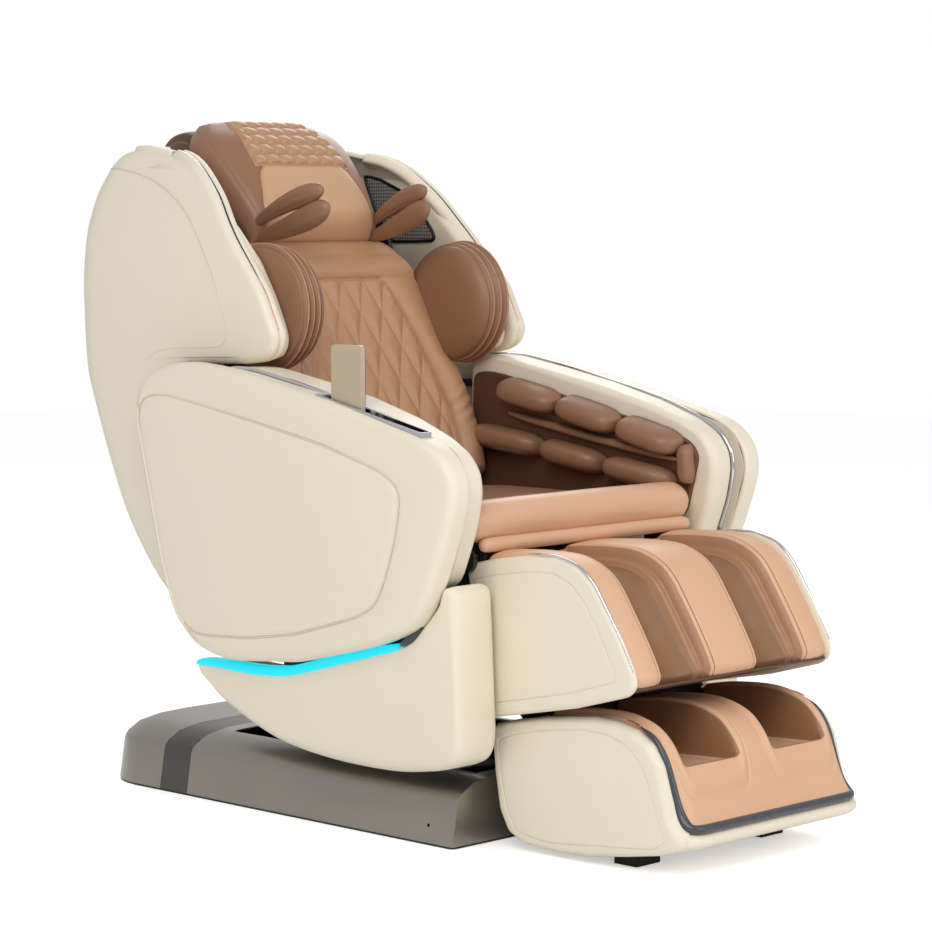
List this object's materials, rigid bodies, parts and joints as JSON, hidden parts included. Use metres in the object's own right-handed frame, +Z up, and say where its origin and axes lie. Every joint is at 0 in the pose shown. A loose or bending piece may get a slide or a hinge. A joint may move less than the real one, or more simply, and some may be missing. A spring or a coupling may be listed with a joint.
{
  "type": "massage chair",
  "caption": "Reclining full-body massage chair with padded leg and foot units, swinging side doors, a remote in the arm and a low slide base.",
  "frame": {"origin": "on the floor, on the centre plane, straight below the recline pivot", "axes": "+Z up, the occupant faces -Y, +X is the occupant's left"},
  "size_m": [0.82, 1.4666, 1.2314],
  "materials": {
    "cream_leather": "matte",
    "tan_leather": "satin",
    "brown_leather": "satin",
    "dark_leather": "matte",
    "champagne": "satin",
    "band_silver": "satin",
    "frame_steel": "satin",
    "bright_steel": "satin",
    "trim_chrome": "polished",
    "dark_trim": "gloss",
    "housing_plastic": "matte",
    "roller_plastic": "matte",
    "rubber_black": "matte",
    "light_cyan": "glowing",
    "switch_red": "gloss",
    "liner_board": "matte",
    "screen_glass": "gloss",
    "grille_metal": "satin"
  },
  "bodies": {
    "base": {"base_pan": "frame_steel", "base_front_cover": "champagne", "base_rear_cover": "champagne", "base_band": "band_silver", "slide_rails": "bright_steel", "base_crossbars": "frame_steel", "power_box": "housing_plastic", "slide_motor": "housing_plastic"},
    "wheels": {"transport_wheels": "rubber_black"},
    "switch": {"power_switch": "switch_red"},
    "carriage": {"carriage_frame": "frame_steel", "slide_rod": "bright_steel"},
    "tilt_tube": {"tilt_tube": "housing_plastic"},
    "tilt_rod": {"tilt_rod": "bright_steel"},
    "seat": {"seat_frame": "frame_steel", "seat_cushion": "brown_leather", "seat_roll": "tan_leather", "knee_flap": "tan_leather", "knee_boots": "rubber_black", "lower_shells": "cream_leather", "light_strips": "light_cyan", "door_posts": "frame_steel", "arm_shells": "cream_leather", "arm_trims": "trim_chrome", "arm_linings": "dark_leather", "arm_pads": "brown_leather"},
    "door_left": {"door_left": "cream_leather", "door_liner_left": "liner_board"},
    "door_right": {"door_right": "cream_leather", "door_liner_right": "liner_board", "remote_dock": "trim_chrome"},
    "remote": {"remote_case": "champagne", "remote_screen": "screen_glass"},
    "recline_tube": {"recline_tube": "housing_plastic"},
    "recline_rod": {"recline_rod": "bright_steel"},
    "back": {"back_frame": "frame_steel", "back_shell": "cream_leather", "back_cushion": "tan_leather", "head_pillow": "brown_leather", "pillow_hood": "dark_leather", "neck_wings": "brown_leather", "shoulder_pads": "brown_leather", "speaker_grilles": "grille_metal", "wing_linings": "cream_leather", "wing_trims": "dark_trim", "back_lining": "brown_leather"},
    "massage": {"massage_carriage": "housing_plastic"},
    "kneader": {"massage_rollers": "roller_plastic"},
    "legrest_tube": {"legrest_tube": "housing_plastic"},
    "legrest_rod": {"legrest_rod": "bright_steel"},
    "calf": {"calf_frame": "frame_steel", "calf_shells": "cream_leather", "calf_cushion": "tan_leather", "calf_trims": "trim_chrome"},
    "foot": {"foot_rods": "bright_steel", "foot_shell": "cream_leather", "foot_cushion": "tan_leather", "foot_trim": "dark_trim", "foot_pads": "rubber_black"},
    "foot_kneader": {"foot_rollers": "roller_plastic"}
  },
  "joints": [
    {"name": "wheel_spin", "type": "hinge", "parent": "base", "child": "wheels", "pos_m": [0, 0.405, 0.037], "axis": [1, 0, 0], "continuous": true},
    {"name": "power_rocker", "type": "hinge", "parent": "base", "child": "switch", "pos_m": [0.028, 0.484, 0.045], "axis": [1, 0, 0], "range_deg": [0, 12]},
    {"name": "carriage_slide", "type": "slide", "parent": "base", "child": "carriage", "axis": [0, -1, 0], "range_m": [0, 0.07]},
    {"name": "seat_tilt", "type": "hinge", "parent": "carriage", "child": "seat", "pos_m": [0, 0, 0.2], "axis": [-1, 0, 0], "range_deg": [0, 15]},
    {"name": "tilt_tube_pivot", "type": "hinge", "parent": "carriage", "child": "tilt_tube", "pos_m": [0.078, -0.34, 0.115], "axis": [1, 0, 0], "range_deg": [-12.34, 0.05]},
    {"name": "tilt_rod_slide", "type": "slide", "parent": "tilt_tube", "child": "tilt_rod", "axis": [0, -0.126, 0.992], "range_m": [-0.0001, 0.09117]},
    {"name": "door_left_swing", "type": "hinge", "parent": "seat", "child": "door_left", "pos_m": [0.37, 0.19, 0.4], "axis": [0, 0, 1], "range_deg": [0, 15]},
    {"name": "door_right_swing", "type": "hinge", "parent": "seat", "child": "door_right", "pos_m": [-0.37, 0.19, 0.4], "axis": [0, 0, -1], "range_deg": [0, 15]},
    {"name": "remote_fold", "type": "hinge", "parent": "door_right", "child": "remote", "pos_m": [-0.379, -0.284, 0.728], "axis": [1, 0, 0], "range_deg": [0, 75]},
    {"name": "recline", "type": "hinge", "parent": "seat", "child": "back", "pos_m": [0, 0, 0.45], "axis": [-1, 0, 0], "range_deg": [0, 30]},
    {"name": "recline_tube_pivot", "type": "hinge", "parent": "seat", "child": "recline_tube", "pos_m": [-0.078, -0.23, 0.3], "axis": [1, 0, 0], "range_deg": [-2.53, 0.05]},
    {"name": "recline_rod_slide", "type": "slide", "parent": "recline_tube", "child": "recline_rod", "axis": [0, 0.9947, 0.1029], "range_m": [-0.07013, 0.0001]},
    {"name": "massage_travel", "type": "slide", "parent": "back", "child": "massage", "axis": [0, 0.3584, 0.9336], "range_m": [0, 0.3]},
    {"name": "knead_spin", "type": "hinge", "parent": "massage", "child": "kneader", "pos_m": [0, 0.10316, 0.61577], "axis": [1, 0, 0], "continuous": true},
    {"name": "legrest_lift", "type": "hinge", "parent": "seat", "child": "calf", "pos_m": [0, -0.46, 0.555], "axis": [-1, 0, 0], "range_deg": [0, 45]},
    {"name": "legrest_tube_pivot", "type": "hinge", "parent": "seat", "child": "legrest_tube", "pos_m": [0, -0.23, 0.3], "axis": [1, 0, 0], "range_deg": [-0.353, 0.05]},
    {"name": "legrest_rod_slide", "type": "slide", "parent": "legrest_tube", "child": "legrest_rod", "axis": [0, -0.8725, 0.4886], "range_m": [-0.0001, 0.09203]},
    {"name": "footrest_extend", "type": "slide", "parent": "calf", "child": "foot", "axis": [0, -0.2201, -0.9755], "range_m": [0, 0.1]},
    {"name": "foot_roller_spin", "type": "hinge", "parent": "foot", "child": "foot_kneader", "pos_m": [0, -0.73, 0.104], "axis": [1, 0, 0], "continuous": true}
  ],
  "couplings": [
    {"joint": "tilt_tube_pivot", "follows": "seat_tilt", "ratio": -0.8035},
    {"joint": "tilt_rod_slide", "follows": "seat_tilt", "m_per_rad": 0.34104},
    {"joint": "recline_tube_pivot", "follows": "recline", "ratio": -0.0811},
    {"joint": "recline_rod_slide", "follows": "recline", "m_per_rad": -0.13113},
    {"joint": "legrest_tube_pivot", "follows": "legrest_lift", "ratio": -0.0066},
    {"joint": "legrest_rod_slide", "follows": "legrest_lift", "m_per_rad": 0.11476}
  ]
}
